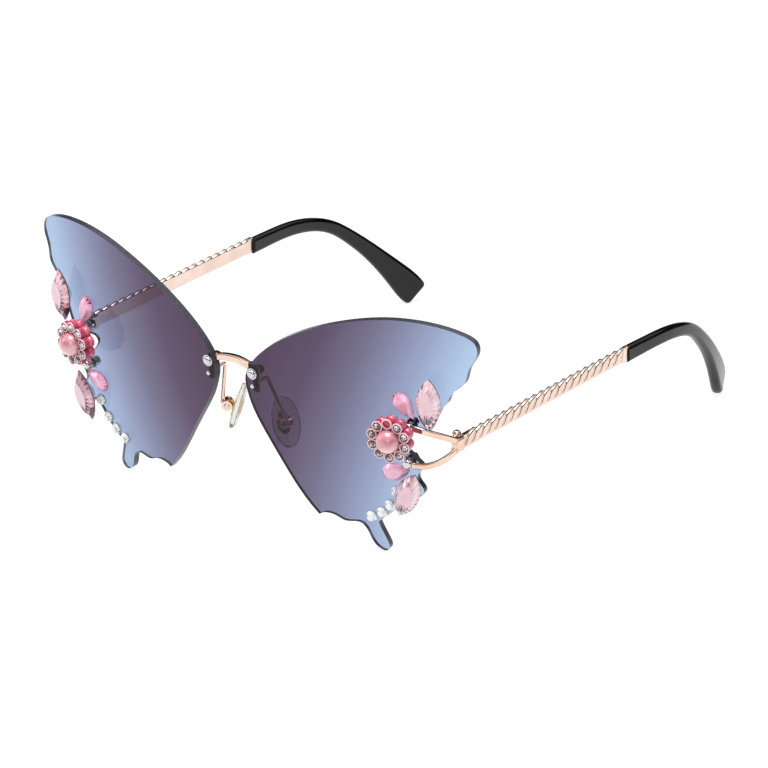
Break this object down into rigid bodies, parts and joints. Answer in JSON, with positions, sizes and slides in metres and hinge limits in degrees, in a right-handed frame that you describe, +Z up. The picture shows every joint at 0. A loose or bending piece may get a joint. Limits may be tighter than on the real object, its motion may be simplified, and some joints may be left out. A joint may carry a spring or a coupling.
{
  "type": "butterfly sunglasses",
  "caption": "Rimless butterfly-wing sunglasses with gradient lenses, flower and stone trim, rope-pattern folding temples and black ear sleeves.",
  "frame": {"origin": "middle of the footprint, on the surface that the glasses stand on", "axes": "+X towards the wearer's left, the glasses look along -Y, +Z up, temples run along +Y"},
  "size_m": [0.1476, 0.1612, 0.0702],
  "materials": {
    "tinted_lens": "clear polycarbonate, polished, tinted from plum to light blue",
    "rose_gold": "polished, rose gold plated",
    "bright_steel": "polished",
    "clear_nylon": "clear, moulded",
    "pad_brass": "stamped",
    "clear_silicone": "clear, moulded, soft gloss",
    "black_acetate": "polished",
    "pink_resin": "moulded, glossy",
    "pink_pearl": "pearl coated",
    "pink_glass": "cut and polished, foiled back",
    "rose_glass": "cut and polished, foiled back",
    "clear_glass": "cut and polished, foiled back"
  },
  "bodies": {
    "front": {"bridge": "rose_gold", "bridge_nuts": "bright_steel", "bridge_pins": "bright_steel", "bridge_screws": "bright_steel", "bridge_washers": "bright_steel", "clear_stones_left": "clear_glass", "clear_stones_right": "clear_glass", "drop_lower_left": "rose_glass", "drop_lower_right": "rose_glass", "drop_upper_left": "rose_glass", "drop_upper_right": "rose_glass", "flower_pearl_left": "pink_pearl", "flower_pearl_right": "pink_pearl", "flower_petals_left": "pink_resin", "flower_petals_right": "pink_resin", "flower_posts": "bright_steel", "flower_ring_left": "pink_resin", "flower_ring_right": "pink_resin", "flower_stones_left": "clear_glass", "flower_stones_right": "clear_glass", "fork_left": "rose_gold", "fork_nuts": "bright_steel", "fork_right": "rose_gold", "fork_screws": "bright_steel", "fork_washers": "bright_steel", "hinge_front_left": "rose_gold", "hinge_front_right": "rose_gold", "hinge_screw_left": "bright_steel", "hinge_screw_right": "bright_steel", "lens_bushes": "clear_nylon", "lens_left": "tinted_lens", "lens_right": "tinted_lens", "marquise_lower_left": "pink_glass", "marquise_lower_right": "pink_glass", "marquise_upper_left": "pink_glass", "marquise_upper_right": "pink_glass", "pad_arm_left": "rose_gold", "pad_arm_right": "rose_gold", "pad_screw_left": "bright_steel", "pad_screw_right": "bright_steel"},
    "temple_l": {"hinge_rear_left": "rose_gold", "temple_left": "rose_gold", "temple_sleeve_left": "black_acetate"},
    "temple_r": {"hinge_rear_right": "rose_gold", "temple_right": "rose_gold", "temple_sleeve_right": "black_acetate"},
    "pad_l": {"pad_insert_left": "pad_brass", "nose_pad_left": "clear_silicone"},
    "pad_r": {"pad_insert_right": "pad_brass", "nose_pad_right": "clear_silicone"}
  },
  "joints": [
    {"name": "left_temple_fold", "type": "hinge", "parent": "front", "child": "temple_l", "pos_m": [0.06325, -0.05919, 0.03494], "axis": [0, 0, 1], "range_deg": [0, 89]},
    {"name": "right_temple_fold", "type": "hinge", "parent": "front", "child": "temple_r", "pos_m": [-0.06325, -0.05919, 0.03494], "axis": [0, 0, -1], "range_deg": [0, 77]},
    {"name": "left_pad_rock", "type": "hinge", "parent": "front", "child": "pad_l", "pos_m": [0.0103, -0.06405, 0.02771], "axis": [-0.4743, -0.8753, -0.0945], "range_deg": [-8, 8]},
    {"name": "right_pad_rock", "type": "hinge", "parent": "front", "child": "pad_r", "pos_m": [-0.0103, -0.06405, 0.02771], "axis": [0.4743, -0.8753, -0.0945], "range_deg": [-8, 8]}
  ]
}
